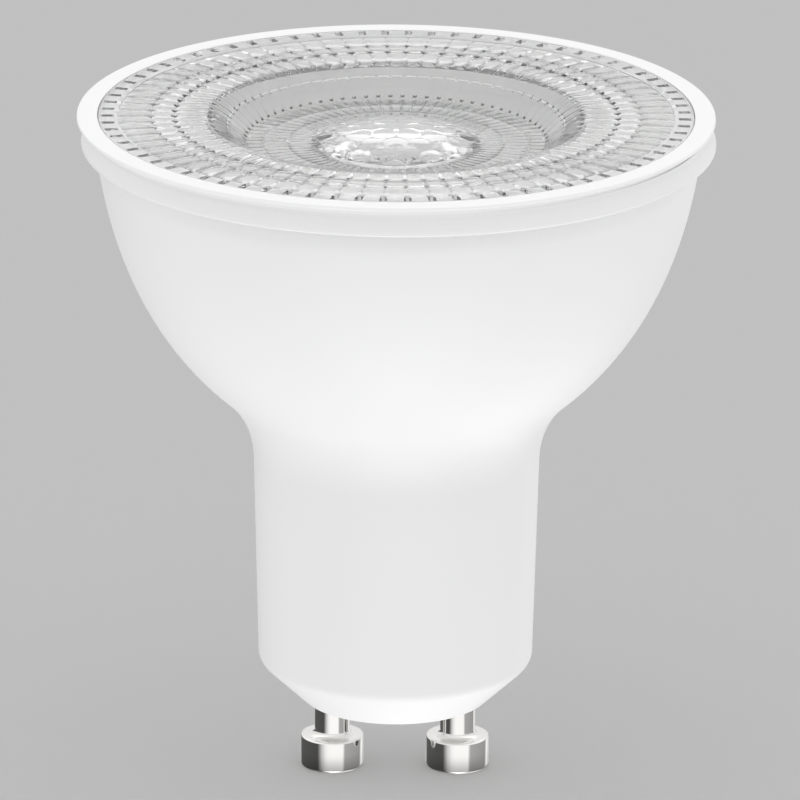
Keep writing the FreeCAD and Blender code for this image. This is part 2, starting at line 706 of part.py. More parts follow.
def film_capacitor():
    """Boxed film capacitor low on the board's front."""
    wide, deep, tall = FILM_SIZE
    low = BOARD_BOTTOM_Z + PART_GAP
    body = block((-wide / 2, BOARD_FRONT_Y, low), (wide / 2, BOARD_FRONT_Y + deep, low + tall))
    return body.makeFillet(tall / 8, body.Edges)


def fusible_resistor():
    """Resistor that opens on a fault, with its leads bent back to the board."""
    y = BOARD_BACK_Y - PART_GAP - RESISTOR_R
    z = BOARD_BOTTOM_Z + RESISTOR_RISE
    body = Part.makeCylinder(RESISTOR_R, RESISTOR_L, V(-RESISTOR_L / 2, y, z), V(1, 0, 0))
    body = body.makeFillet(RESISTOR_R / 2.5, body.Edges)
    half = RESISTOR_SPAN / 2
    for side in (-1, 1):
        points = [(side * RESISTOR_L / 2.2, y, z), (side * half, y, z), (side * half, BOARD_BACK_Y, z)]
        body = body.fuse(tube("resistor lead", points, WIRE_R))
    return body


def flat_package(size, x, z, legs):
    """Moulded package on the board's back, with a row of feet along two sides."""
    wide, deep, tall = size
    low = (x - wide / 2, BOARD_BACK_Y - deep, z - tall / 2)
    high = (x + wide / 2, BOARD_BACK_Y - LEG_T / 2, z + tall / 2)
    body = block(low, high)
    pitch = tall / legs
    for i in range(legs):
        level = low[2] + pitch * (i + 0.5)
        foot = (low[0] - LEG_REACH, BOARD_BACK_Y - LEG_T, level - pitch / 6)
        end = (high[0] + LEG_REACH, BOARD_BACK_Y, level + pitch / 6)
        body = body.fuse(block(foot, end))
    return body.removeSplitter()


def bridge_rectifier():
    """Four-legged rectifier package."""
    return flat_package(BRIDGE_SIZE, BRIDGE_X, BOARD_BOTTOM_Z + BRIDGE_RISE, 2)


def driver_chip():
    """Eight-legged driver package."""
    return flat_package(CHIP_SIZE, CHIP_X, BOARD_BOTTOM_Z + CHIP_RISE, 4)


NODES = {
    "housing": housing,
    "front_ring": front_ring,
    "lens": lens,
    "heat_sink": heat_sink,
    "thermal_pad": lambda: drilled_disc(LED_BOARD_R, CUP_FLOOR_Z, LED_BOARD_Z),
    "led_board": lambda: drilled_disc(LED_BOARD_R, LED_BOARD_Z, LED_FACE_Z),
    "led_package": led_package,
    "led_phosphor": led_phosphor,
    "board_screws": board_screws,
    "driver_board": driver_board,
    "bulk_capacitor": bulk_capacitor,
    "output_capacitor": output_capacitor,
    "inductor_core": inductor_core,
    "inductor_winding": inductor_winding,
    "film_capacitor": film_capacitor,
    "fusible_resistor": fusible_resistor,
    "bridge_rectifier": bridge_rectifier,
    "driver_chip": driver_chip,
    "input_lead_left": lambda: input_lead(-1),
    "input_lead_right": lambda: input_lead(1),
    "output_lead_left": lambda: output_lead(-1),
    "output_lead_right": lambda: output_lead(1),
    "pin_left": lambda: pin(-1),
    "pin_right": lambda: pin(1),
}

for node, make in NODES.items():
    shape = make()
    solids = len(shape.Solids)
    closed = shape.isValid() and all(solid.isClosed() for solid in shape.Solids)
    print("%s: %d solid(s), %.1f mm3, closed %s" % (node, solids, shape.Volume, closed))
    shape.exportStep("parts/%s.step" % node)
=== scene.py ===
import logging
import math
from dataclasses import dataclass
from enum import Enum

import bpy
import numpy as np
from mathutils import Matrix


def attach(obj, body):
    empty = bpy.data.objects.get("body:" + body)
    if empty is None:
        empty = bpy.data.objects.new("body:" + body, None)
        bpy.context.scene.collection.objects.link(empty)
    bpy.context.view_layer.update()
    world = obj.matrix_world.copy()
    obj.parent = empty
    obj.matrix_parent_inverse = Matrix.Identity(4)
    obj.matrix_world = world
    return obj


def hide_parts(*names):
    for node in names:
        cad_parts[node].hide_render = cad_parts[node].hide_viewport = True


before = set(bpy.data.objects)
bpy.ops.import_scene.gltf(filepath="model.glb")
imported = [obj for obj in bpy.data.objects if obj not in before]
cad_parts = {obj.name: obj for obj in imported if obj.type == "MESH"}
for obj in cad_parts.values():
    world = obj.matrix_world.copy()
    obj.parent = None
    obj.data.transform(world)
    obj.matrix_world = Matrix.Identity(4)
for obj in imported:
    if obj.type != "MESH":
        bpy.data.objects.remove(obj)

LOG = logging.getLogger("lamp")
MM = 0.001
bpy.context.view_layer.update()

# The most of a straight run that one rounding takes
ARC_SHARE = 0.48
# Points closer than this become one vertex
SAME_PLACE = MM * 1e-5
# How far drawn grain is stretched along the axis, as a scale
DRAWN_SCALE = 0.05
LEAST_ROUGHNESS = 0.02


# Meshes


def fillet_path(corners: list[tuple[float, ...]], steps: int = 6) -> np.ndarray:
    """Works out an outline of straight runs whose rounded corners are arcs.

    A corner's arc touches both of its runs, its centre lies on their bisector, and its points
    are the centre plus the radius turned evenly from one touching point to the other.

    Args:
        corners: (radius, level) or (radius, level, rounding) in millimetres, in order.
        steps: Points along each arc.

    Returns:
        The outline's points as an array of (radius, level).
    """
    points = np.array([corner[:2] for corner in corners], float)
    runs = [points[:1]]
    for i, corner in enumerate(corners[1:-1], 1):
        rounding = corner[2] if len(corner) > 2 else 0.0
        if rounding <= 0:
            runs.append(points[i:i + 1])
            continue
        ways = points[[i - 1, i + 1]] - points[i]
        lengths = np.linalg.norm(ways, axis=1)
        ways /= lengths[:, None]
        half = math.acos(np.clip(ways[0] @ ways[1], -1, 1)) / 2
        reach = min(rounding / math.tan(half), ARC_SHARE * lengths.min())
        bisector = ways.sum(axis=0) / np.linalg.norm(ways.sum(axis=0))
        centre = points[i] + bisector * reach / math.cos(half)
        first, last = points[i] + ways * reach - centre
        bend = math.atan2(first[0] * last[1] - first[1] * last[0], first @ last)
        angles = np.linspace(0, bend, steps)[:, None]
        side = np.array([-first[1], first[0]])
        runs.append(centre + first * np.cos(angles) + side * np.sin(angles))
    runs.append(points[-1:])
    return np.vstack(runs)


def polar(radius: np.ndarray, angle: np.ndarray, level: np.ndarray,
          shift: tuple[float, float] = (0.0, 0.0)) -> np.ndarray:
    """Places points round a vertical line.

    The point at radius r, angle a and level z is (r cos a, r sin a, z), moved sideways by shift.

    Args:
        radius: Distances from the line, in millimetres.
        angle: Angles round it, in radians.
        level: Levels, in millimetres.
        shift: Where the line stands, in millimetres.

    Returns:
        The points in metres, with x, y and z along the last axis.
    """
    x = radius * np.cos(angle) + shift[0]
    y = radius * np.sin(angle) + shift[1]
    return np.stack([x, y, level], -1) * MM


def turn(outline: np.ndarray, columns: int,
         shift: tuple[float, float] = (0.0, 0.0)) -> np.ndarray:
    """Turns an outline about a vertical line, as polar places it.

    Args:
        outline: (radius, level) points in millimetres.
        columns: Steps round the axis.
        shift: Where the axis stands, in millimetres.

    Returns:
        A grid of points in metres, one row for each point of the outline.
    """
    angles = np.arange(columns) * 2 * np.pi / columns
    radius, angle = np.meshgrid(outline[:, 0], angles, indexing="ij")
    return polar(radius, angle, np.broadcast_to(outline[:, 1:], radius.shape), shift)


def cap(radius: np.ndarray, edge_r: float, rise: float) -> np.ndarray:
    """Works out the height of a ball's cap above its edge.

    The ball's radius is the sum of the squares of the edge's radius and the rise, over twice
    the rise. The height at r is the root of the ball's radius squared less r squared, less
    what the ball's middle lies below the edge.

    Args:
        radius: Distances from the axis.
        edge_r: The edge's radius.
        rise: The height at the axis.

    Returns:
        The heights, which are 0 beyond the edge.
    """
    ball = (edge_r ** 2 + rise ** 2) / (2 * rise)
    height = np.sqrt(ball ** 2 - np.clip(radius, 0, edge_r) ** 2) - (ball - rise)
    return np.where(radius < edge_r, height, 0)


def crowd(start: float, end: float, count: int) -> np.ndarray:
    """Spaces places that crowd towards both ends, as the cosine of even steps.

    Args:
        start: The first place.
        end: Where the next place after the last would be.
        count: How many places.

    Returns:
        The places.
    """
    return start + (end - start) * (1 - np.cos(np.pi * np.arange(count) / count)) / 2


def mesh_object(name: str, grid: np.ndarray, closed_rows: bool,
                sharp_deg: float) -> bpy.types.Object:
    """Makes a mesh object from a grid of points whose columns run right round.

    Each point is joined to the next in its row and column. Points that fall together at a pole
    become one vertex, and a quad with such a side becomes a triangle.

    Args:
        name: The new piece's name.
        grid: Points in metres, as rows by columns by 3.
        closed_rows: Whether the last row joins the first.
        sharp_deg: Edges that bend more than this stay sharp.

    Returns:
        The object, linked to the scene, with smooth faces.
    """
    rows, columns = grid.shape[:2]
    index = np.arange(rows * columns).reshape(rows, columns)
    if closed_rows:
        index = np.vstack([index, index[:1]])
    index = np.hstack([index, index[:, :1]])
    quads = np.stack([index[:-1, :-1], index[:-1, 1:], index[1:, 1:], index[1:, :-1]], -1)
    keys = np.round(grid.reshape(-1, 3) / SAME_PLACE).astype(np.int64)
    _, first, inverse = np.unique(keys, axis=0, return_index=True, return_inverse=True)
    quads = inverse.reshape(-1)[quads.reshape(-1, 4)]
    kept = quads != np.roll(quads, -1, axis=1)
    counts = kept.sum(axis=1)
    kept[counts < 3] = False
    counts = counts[counts >= 3]
    corners = quads[kept]
    mesh = bpy.data.meshes.new(name)
    mesh.vertices.add(len(first))
    mesh.vertices.foreach_set("co", grid.reshape(-1, 3)[first].astype(np.float32).ravel())
    mesh.loops.add(len(corners))
    mesh.loops.foreach_set("vertex_index", corners.astype(np.int32))
    mesh.polygons.add(len(counts))
    starts = np.concatenate([[0], np.cumsum(counts)[:-1]])
    mesh.polygons.foreach_set("loop_start", starts.astype(np.int32))
    mesh.polygons.foreach_set("loop_total", counts.astype(np.int32))
    mesh.polygons.foreach_set("use_smooth", np.ones(len(counts), bool))
    mesh.update(calc_edges=True)
    mesh.validate()
    mesh.set_sharp_from_angle(angle=math.radians(sharp_deg))
    piece = bpy.data.objects.new(name, mesh)
    bpy.context.scene.collection.objects.link(piece)
    return piece


# Finishes


class Graph:
    """The nodes of one material or of the world."""

    def __init__(self, tree: bpy.types.NodeTree) -> None:
        """Empties the tree that this graph fills."""
        self.tree = tree
        tree.nodes.clear()

    def feed(self, socket: bpy.types.NodeSocket, value: object) -> None:
        """Links an input socket to another socket, or sets its value.

        Args:
            socket: The input socket.
            value: A socket to link it to, or a value.
        """
        if isinstance(value, bpy.types.NodeSocket):
            self.tree.links.new(value, socket)
        else:
            socket.default_value = value

    def add(self, kind: str, **inputs: object) -> bpy.types.Node:
        """Adds one node.

        Args:
            kind: The node's type name.
            **inputs: Node settings, or values and links for input sockets. A socket is named
                with underscores for spaces, or by its number after an underscore.

        Returns:
            The node.
        """
        node = self.tree.nodes.new(kind)
        settings = [key for key in inputs if hasattr(node, key)]
        for key in settings:
            setattr(node, key, inputs.pop(key))
        for key, value in inputs.items():
            name = int(key[1:]) if key.startswith("_") else key.replace("_", " ")
            self.feed(node.inputs[name], value)
        return node

    def math(self, operation: str, *values: object) -> bpy.types.NodeSocket:
        """Adds a Math node.

        Args:
            operation: What it works out.
            *values: A value or a socket for each input.

        Returns:
            The result's socket.
        """
        node = self.add("ShaderNodeMath", operation=operation)
        for socket, value in zip(node.inputs, values):
            self.feed(socket, value)
        return node.outputs[0]

    def wave(self, value: bpy.types.NodeSocket, half: float) -> bpy.types.NodeSocket:
        """Works out the sine of a socket's value, with half a wave in each half length."""
        return self.math("SINE", self.math("MULTIPLY", value, math.pi / half))

    def ramp(self, value: object, stops: tuple[tuple[float, float], ...]) -> bpy.types.NodeSocket:
        """Adds a grey colour ramp.

        Args:
            value: The socket that drives it.
            stops: (position, grey level) pairs, in order.

        Returns:
            The ramp's colour.
        """
        node = self.add("ShaderNodeValToRGB", Fac=value)
        band = node.color_ramp
        band.elements[0].position = stops[0][0]
        band.elements[1].position = stops[-1][0]
        for place, _ in stops[1:-1]:
            band.elements.new(place)
        for element, (_, level) in zip(band.elements, stops):
            element.color = (level, level, level, 1)
        return node.outputs["Color"]


class Grain(Enum):
    """How a finish's small relief is laid out."""

    PEEL = "fine moulded skin"
    SPUN = "fine rings round the axis"
    DRAWN = "fine lines along the axis"
    WOVEN = "woven cloth under resin"
    WOUND = "turns of wire"


@dataclass(frozen=True)
class Finish:
    """An opaque finish: a colour that varies a little, and a small relief.

    The lengths are in millimetres. The colours are linear.
    """

    name: str
    colour: tuple[float, float, float]
    roughness: float
    metallic: float = 0.0
    specular: float = 0.5
    grain: Grain = Grain.PEEL
    grain_size: float = 0.35
    relief: float = 0.004
    clouds: float = 0.03
    cloud_size: float = 6.0
    rough_spread: float = 0.06
    coat: float = 0.0
    coat_roughness: float = 0.08

    def height(self, graph: Graph, place: bpy.types.NodeSocket) -> bpy.types.NodeSocket:
        """Lays out the relief.

        Args:
            graph: The material's graph.
            place: The Object coordinates.

        Returns:
            The relief's height, from 0 to 1.
        """
        pitch = self.grain_size * MM
        detail = 2.0
        if self.grain is Grain.DRAWN:
            place = graph.add("ShaderNodeMapping", Vector=place,
                              Scale=(1, 1, DRAWN_SCALE)).outputs[0]
        elif self.grain is not Grain.PEEL:
            x, y, z = graph.add("ShaderNodeSeparateXYZ", Vector=place).outputs
            if self.grain is Grain.WOUND:
                return graph.math("ABSOLUTE", graph.wave(y, pitch))
            if self.grain is Grain.WOVEN:
                both = graph.math("MULTIPLY", graph.wave(x, pitch), graph.wave(z, pitch))
                return graph.math("ABSOLUTE", both)
            across = graph.math("SQRT", graph.math("ADD", graph.math("POWER", x, 2.0),
                                                   graph.math("POWER", y, 2.0)))
            place = graph.add("ShaderNodeCombineXYZ", X=across, Y=z).outputs[0]
            detail = 3.0
        noise = graph.add("ShaderNodeTexNoise", Vector=place, Scale=1 / pitch, Detail=detail)
        return noise.outputs[0]

    def material(self) -> bpy.types.Material:
        """Builds the finish.

        Returns:
            The material, with its colour, roughness and relief worked out from Object
            coordinates.
        """
        material = bpy.data.materials.new(self.name)
        material.use_nodes = True
        graph = Graph(material.node_tree)
        place = graph.add("ShaderNodeTexCoord").outputs["Object"]
        cloud = graph.add("ShaderNodeTexNoise", Vector=place, Scale=1 / (self.cloud_size * MM),
                          Detail=3.0)
        darker = tuple(c * (1 - self.clouds) for c in self.colour)
        colour = graph.add("ShaderNodeMix", data_type="RGBA", _0=cloud.outputs[0],
                           _6=darker + (1,), _7=self.colour + (1,))
        rough = graph.add("ShaderNodeMapRange", Value=cloud.outputs[0],
                          To_Min=max(self.roughness - self.rough_spread, LEAST_ROUGHNESS),
                          To_Max=self.roughness + self.rough_spread)
        bump = graph.add("ShaderNodeBump", Height=self.height(graph, place), Strength=1.0,
                         Distance=self.relief * MM)
        shader = graph.add("ShaderNodeBsdfPrincipled", Base_Color=colour.outputs[2],
                           Roughness=rough.outputs[0], Normal=bump.outputs[0],
                           Metallic=self.metallic, Specular_IOR_Level=self.specular,
                           Coat_Weight=self.coat, Coat_Roughness=self.coat_roughness)
        graph.add("ShaderNodeOutputMaterial", Surface=shader.outputs[0])
        return material


@dataclass(frozen=True)
class ClearPlastic:
    """A clear moulded plastic with a faint haze."""

    name: str
    colour: tuple[float, float, float] = (0.985, 0.987, 0.99)
    roughness: float = 0.04
    rough_share: float = 0.5
    ior: float = 1.49
    ripple_size: float = 1.2
    ripple: float = 0.003
    haze: float = 0.03

    def material(self) -> bpy.types.Material:
        """Builds the finish.

        Returns:
            The material, whose ripple is the slight waviness of a moulded face.
        """
        material = bpy.data.materials.new(self.name)
        material.use_nodes = True
        graph = Graph(material.node_tree)
        place = graph.add("ShaderNodeTexCoord").outputs["Object"]
        ripple = graph.add("ShaderNodeTexNoise", Vector=place, Scale=1 / (self.ripple_size * MM),
                           Detail=1.0)
        rough = graph.add("ShaderNodeMapRange", Value=ripple.outputs[0],
                          To_Min=self.roughness * (1 - self.rough_share),
                          To_Max=self.roughness * (1 + self.rough_share))
        bump = graph.add("ShaderNodeBump", Height=ripple.outputs[0], Strength=1.0,
                         Distance=self.ripple * MM)
        shader = graph.add("ShaderNodeBsdfPrincipled", Base_Color=self.colour + (1,),
                           Roughness=rough.outputs[0], Normal=bump.outputs[0], IOR=self.ior,
                           Transmission_Weight=1 - self.haze)
        graph.add("ShaderNodeOutputMaterial", Surface=shader.outputs[0])
        return material


class Skin(Enum):
    """Which of the lens's clear plastics a face takes, by its place among the materials."""

    POLISHED = 0
    SATIN = 1
    FROSTED = 2
    # Painted shade: a dark tint on the faces of the dashes where facets meet the rings
    PIT_SHADE = 3
    # Painted shade: a darker tint on the walls of the rim's grooves
    GROOVE_SHADE = 4


def dress(piece: bpy.types.Object, material: bpy.types.Material) -> None:
    """Gives a piece its finish.

    Args:
        piece: A new piece or a CAD node.
        material: The finish.
    """
    piece.data.materials.clear()
    piece.data.materials.append(material)


def dress_nodes(finishes: dict[str, tuple[Finish, str]]) -> None:
    """Gives CAD nodes their finishes. Nodes with the same finish share its material.

    Args:
        finishes: Each node's finish and a material slot name, which is not used.
    """
    made: dict[str, bpy.types.Material] = {}
    for node, (finish, slot) in finishes.items():
        if finish.name not in made:
            made[finish.name] = finish.material()
        dress(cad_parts[node], made[finish.name])
        LOG.info("%s dressed", node)


def stand_for(piece: bpy.types.Object, node: str, material: bpy.types.Material) -> None:
    """Puts a new piece in a CAD node's place, dressed.

    Args:
        piece: The new piece.
        node: The CAD node that it stands for.
        material: Its finish.
    """
    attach(piece, "root")
    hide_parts(node)
    dress(piece, material)
    LOG.info("%s: %d faces", piece.name, len(piece.data.polygons))


# Pieces that are built again here, in millimetres


@dataclass
class LampBody:
    """The white moulding: base, neck, bowl and the band round its mouth."""

    wall: float = 1.4
    base_z: float = 6.05
    base_r: float = 7.4
    base_round: float = 0.25
    chamfer_z: float = 9.35
    chamfer_round: float = 1.2
    neck_r: float = 10.87
    neck_draft: float = 1.45
    neck_top_z: float = 26.0
    throat_r: float = 7.8
    flare: float = 49.4
    bowl_r: float = 23.78
    bowl_lean: float = 8.3
    low_pull: float = 0.47
    high_pull: float = 0.16
    hollow_r: float = 0.85
    hollow_h: float = 1.8
    band_r: float = 24.87
    band_draft_r: float = 24.85
    band_top_r: float = 24.36
    band_z: float = 51.85
    band_slope_z: float = 52.25
    band_slope_top_z: float = 53.2
    band_top_z: float = 53.5
    band_low_round: float = 0.3
    band_high_round: float = 0.5
    band_top_round: float = 0.2
    ledge_z: float = 52.55
    mouth_r: float = 24.26
    shelf_z: float = 32.6
    columns: int = 224

    def bowl(self, skin: float, arc_steps: int = 24, bowl_steps: int = 60) -> np.ndarray:
        """Works out the throat and the bowl, a distance inside the outer face.

        The throat is an arc about a point outside the neck. The bowl is a cubic curve whose
        first and last legs lie along the lean at its two ends.

        Args:
            skin: Distance inside the outer face.
            arc_steps: Points along the throat.
            bowl_steps: Points along the bowl.

        Returns:
            (radius, level) points from the neck upwards.
        """
        draft, flare, lean = np.radians([self.neck_draft, self.flare, self.bowl_lean])
        neck_top_r = self.neck_r + (self.neck_top_z - self.chamfer_z) * math.tan(draft)
        middle = np.array([neck_top_r + self.throat_r * math.cos(draft),
                           self.neck_top_z - self.throat_r * math.sin(draft)])
        reach = self.throat_r + skin
        angles = np.linspace(draft, flare, arc_steps)
        throat = middle + reach * np.stack([-np.cos(angles), np.sin(angles)], -1)
        low = throat[-1]
        high = np.array([self.bowl_r - skin * math.cos(lean),
                         self.band_z + skin * math.sin(lean)])
        chord = np.linalg.norm(high - low)
        second = low + self.low_pull * chord * np.array([math.sin(flare), math.cos(flare)])
        third = high - self.high_pull * chord * np.array([math.sin(lean), math.cos(lean)])
        t = np.linspace(0, 1, bowl_steps)[:, None]
        s = 1 - t
        curve = s ** 3 * low + 3 * t * s ** 2 * second + 3 * t ** 2 * s * third + t ** 3 * high
        return np.vstack([throat, curve[1:]])

    def build(self) -> bpy.types.Object:
        """Turns the outline that runs up the outside, over the rim and down the inside.

        The bowl hollows in under the band, by the square of the nearness to it.

        Returns:
            The moulding's mesh object.
        """
        skin = self.bowl(0.0)
        outside = fillet_path([
            (0.0, self.base_z),
            (self.base_r, self.base_z, self.base_round),
            (self.neck_r, self.chamfer_z, self.chamfer_round),
            tuple(skin[0]),
        ])
        hollow = np.clip(1 - (self.band_z - skin[:, 1]) / self.hollow_h, 0, 1)
        skin[:, 0] -= self.hollow_r * hollow ** 2
        rim = fillet_path([
            tuple(skin[-1]),
            (self.band_r, self.band_z, self.band_low_round),
            (self.band_draft_r, self.band_slope_z, self.band_high_round),
            (self.band_top_r, self.band_slope_top_z, self.band_top_round),
            (self.band_top_r, self.band_top_z),
            (self.mouth_r, self.band_top_z),
            (self.mouth_r, self.ledge_z),
        ])
        inside = self.bowl(self.wall)[::-1]
        inside = inside[(inside[:, 1] > self.shelf_z) & (inside[:, 1] < self.ledge_z)]
        bore_r = self.neck_r - self.wall
        floor = np.array([
            (inside[0, 0], self.ledge_z),
            *inside,
            (inside[-1, 0], self.shelf_z),
            (bore_r, self.shelf_z),
            (bore_r, self.chamfer_z),
            (self.base_r - self.wall / 2, self.base_z + self.wall),
            (0.0, self.base_z + self.wall),
        ])
        outline = np.vstack([outside, skin[1:-1], rim, floor])
        return mesh_object("lamp_body", turn(outline, self.columns), closed_rows=False,
                           sharp_deg=32)

    def dress(self, piece: bpy.types.Object) -> None:
        """Gives the moulding its white plastic."""
        finish = Finish("white_moulded_plastic", (0.87, 0.87, 0.872), roughness=0.44,
                        specular=0.5, grain_size=0.55, relief=0.0025, clouds=0.012,
                        cloud_size=14.0)
        stand_for(piece, "housing", finish.material())


@dataclass
class LensRing:
    """The ring whose lip covers the mouth and whose skirt holds the lens."""

    shift: float = -0.2
    lamp_h: float = 54.25
    rim_r: float = 25.0
    opening_r: float = 23.35
    opening_round: float = 0.06
    lip_t: float = 0.75
    lip_round: float = 0.3
    lip_edge: float = 0.3
    lip_reach: float = 0.6
    lip_fall: float = 0.05
    lip_low_round: float = 0.12
    skirt_r: float = 24.01
    skirt_inner_r: float = 23.65
    skirt_z: float = 52.65
    skirt_round: float = 0.05
    bevel_z: float = 53.6
    columns: int = 256

    def build(self) -> bpy.types.Object:
        """Turns the ring's closed outline about its own axis.

        Returns:
            The ring's mesh object.
        """
        under = self.lamp_h - self.lip_t
        edge = self.lamp_h - self.lip_edge
        inner = self.rim_r - self.lip_reach
        outline = fillet_path([
            (self.skirt_inner_r, self.bevel_z),
            (self.opening_r, self.lamp_h, self.opening_round),
            (self.rim_r, self.lamp_h, self.lip_round),
            (self.rim_r, edge, self.lip_low_round),
            (inner, edge - self.lip_fall, self.lip_low_round),
            (inner, under),
            (self.skirt_r, under),
            (self.skirt_r, self.skirt_z, self.skirt_round),
            (self.skirt_inner_r, self.skirt_z, self.skirt_round),
            (self.skirt_inner_r, (self.skirt_z + self.bevel_z) / 2),
        ])
        grid = turn(outline[::-1], self.columns, (self.shift, 0.0))
        return mesh_object("lens_ring", grid, closed_rows=True, sharp_deg=32)

    def dress(self, piece: bpy.types.Object) -> None:
        """Gives the ring its own, slightly glossier white plastic."""
        finish = Finish("white_ring_plastic", (0.92, 0.92, 0.922), roughness=0.4, specular=0.4,
                        grain_size=0.5, relief=0.002, clouds=0.01, cloud_size=12.0)
        stand_for(piece, "front_ring", finish.material())


@dataclass
class Lens:
    """The clear lens: rings of pillow-shaped facets, a stepped dish and a dome of hexagons.

    Each pit is (radius, depth, half width, reach round the axis), and each shade dash, whose
    faces are tinted dark as painted shade, is (radius, reach round the axis). A reach is a share
    of half a facet.
    """

    shift: float = -0.2
    top_z: float = 54.2
    seat_z: float = 53.15
    outer_r: float = 23.6
    face_r: float = 23.3
    bevel_h: float = 0.6
    facets: int = 76
    columns: tuple[float, ...] = (0.0, 0.07, 0.16, 0.36, 0.64, 0.84, 0.93)
    row_gap: float = 1e-4
    rings: tuple[float, ...] = (21.8, 19.2, 17.4)
    ring_bevel: float = 0.3
    ring_fall: float = 0.02
    pillow: float = 0.11
    pillow_power: int = 6
    dish_r: float = 14.8
    dish_depth: float = 2.1
    wall_run: float = 1e-3
    step_r: float = 13.2
    step_depth: float = 0.8
    floor_r: float = 11.7
    floor_edge: float = 0.15
    floor_t: float = 1.4
    dome_r: float = 6.8
    dome_rise: float = 1.2
    dome_edge: float = 0.05
    dome_rows: int = 32
    hex_rows: int = 7
    hex_groove: float = 0.06
    hex_gap: float = 0.3
    bulge_r: float = 6.0
    bulge_drop: float = 0.8
    bulge_rows: int = 9
    under_bands: tuple[tuple[float, ...], ...] = ((22.2, 19.2, 17.4, 14.9), (12.4, 10.4, 8.4, 6.4))
    under_pillows: tuple[float, ...] = (0.09, 0.08)
    under_power: int = 4
    under_rows: int = 6
    grooves: tuple[float, float] = (22.1, 23.15)
    groove_depth: float = 0.25
    groove_end: float = 0.1
    groove_walls: tuple[float, float] = (0.14, 0.32)
    pits: tuple[tuple[float, float, float, float], ...] = (
        (17.4, 0.3, 0.2, 0.26), (19.2, 0.2, 0.14, 0.2), (14.7, 0.2, 0.18, 0.26),
        (13.2, 0.2, 0.18, 0.35), (11.8, 0.2, 0.16, 0.35))
    shade_dashes: tuple[tuple[float, float], ...] = ((19.2, 0.12), (17.4, 0.4), (11.8, 0.4))
    dash_half: float = 0.16
    step_half: float = 0.08
    skin_above: float = 0.2
    skin_below: float = 0.3
    satin: float = 0.25
    frost: float = 0.45
    # A dark tint that paints shade on the dashes where facets meet the rings
    pit_shade_grey: float = 0.07
    # A tint that paints shade on the walls of the rim's grooves
    groove_shade_grey: float = 0.85

    def inward(self, angle: np.ndarray) -> np.ndarray:
        """Works out how far in from its facet's sides each angle lies: 0 on one, 1 midway."""
        return np.abs(2 * np.mod(angle * self.facets / (2 * np.pi), 1.0) - 1)

    def fall(self, radius: np.ndarray, angle: np.ndarray, ring: tuple[float, float],
             power: int) -> np.ndarray:
        """Works out how a ring's pillow-shaped facets fall away.

        The fall is a power of the distance from a facet's middle, as a share of the way to its
        edge. The greater of the distances round the axis and across the ring counts.

        Args:
            radius: Distances from the axis.
            angle: Angles round the axis, of the same shape.
            ring: The ring's outer and inner radius.
            power: The power.

        Returns:
            The falls, from 0 to 1, which are 0 outside the ring.
        """
        outer, inner = ring
        across = 2 * np.clip((radius - inner) / (outer - inner), 0, 1) - 1
        fall = np.maximum(across ** power, (1 - self.inward(angle)) ** power)
        return fall * ((radius >= inner) & (radius <= outer))

    def hexagons(self, radius: np.ndarray, angle: np.ndarray) -> np.ndarray:
        """Works out how far the dome's small hexagons fall away.

        A point's greatest reach from a hexagon's middle, along three directions 60 degrees
        apart, is half the hexagons' pitch on its edge. A groove runs there, and each hexagon is
        a pillow that falls with the square of the nearness to its edge.

        Args:
            radius: Distances from the axis.
            angle: Angles round the axis, of the same shape.

        Returns:
            The falls, which are 0 beyond the dome.
        """
        x, y = radius * np.cos(angle), radius * np.sin(angle)
        pitch = 2 * self.dome_r / self.hex_rows
        rise = pitch * math.sqrt(3)
        reach = []
        for offset in (0.0, 0.5):
            dx = np.abs(np.mod(x / pitch + offset + 0.5, 1.0) - 0.5) * pitch
            dy = np.abs(np.mod(y / rise + offset + 0.5, 1.0) - 0.5) * rise
            reach.append(np.maximum(dx, dx / 2 + dy * math.sqrt(3) / 2))
        edge = pitch / 2 - np.minimum(*reach)
        groove = np.clip(1 - edge / (self.hex_gap / 2), 0, 1)
        pillow = (1 - np.clip(edge / (pitch / 2), 0, 1)) ** 2
        on_dome = radius < self.dome_r - self.dome_edge
        return np.where(on_dome, self.hex_groove * (groove + pillow), 0)

    def face_levels(self, radius: np.ndarray, angle: np.ndarray) -> np.ndarray:
        """Works out the lens's upper face.

        The turned shape is a flat face, a wall down to the step, a cone down to the floor and a
        round dome with hexagons. On the face lie rings of pillow-shaped facets, each ring a
        little lower outwards. Grooves with sloping walls run across the rim between facets, and
        small cone-shaped pits lie where the facets' edges cross the rings.

        Args:
            radius: Distances from the axis.
            angle: Angles round the axis, of the same shape.

        Returns:
            The levels.
        """
        lip = self.dish_depth - self.pillow
        knots_r = [0.0, self.floor_r, self.step_r, self.dish_r - self.wall_run, self.dish_r]
        knots_z = [0.0, 0.0, self.dish_depth - self.step_depth, lip, self.dish_depth]
        level = np.interp(radius, knots_r, knots_z) - self.dish_depth
        bevel = np.clip(1 - (radius - self.rings[0]) / self.ring_bevel, 0, 1)
        level -= self.pillow * bevel * (radius > self.rings[0])
        edges = (*self.rings, self.dish_r)
        for outer, inner in zip(edges, edges[1:]):
            on_ring = (radius >= inner) & (radius <= outer)
            level -= self.pillow * self.fall(radius, angle, (outer, inner), self.pillow_power)
            level -= self.ring_fall * (radius - inner) * on_ring
        inward = self.inward(angle)
        start, end = self.grooves
        low, high = self.groove_walls
        reach = np.clip((radius - start) / self.groove_end, 0, 1)
        reach *= np.clip((end - radius) / self.groove_end, 0, 1)
        level -= self.groove_depth * reach * np.clip((high - inward) / (high - low), 0, 1)
        for ring, depth, wide, long in self.pits:
            away = np.hypot((radius - ring) / wide, inward / long)
            level -= depth * np.clip(1 - away, 0, 1)
        level += cap(radius, self.dome_r, self.dome_rise) - self.hexagons(radius, angle)
        return level + self.top_z

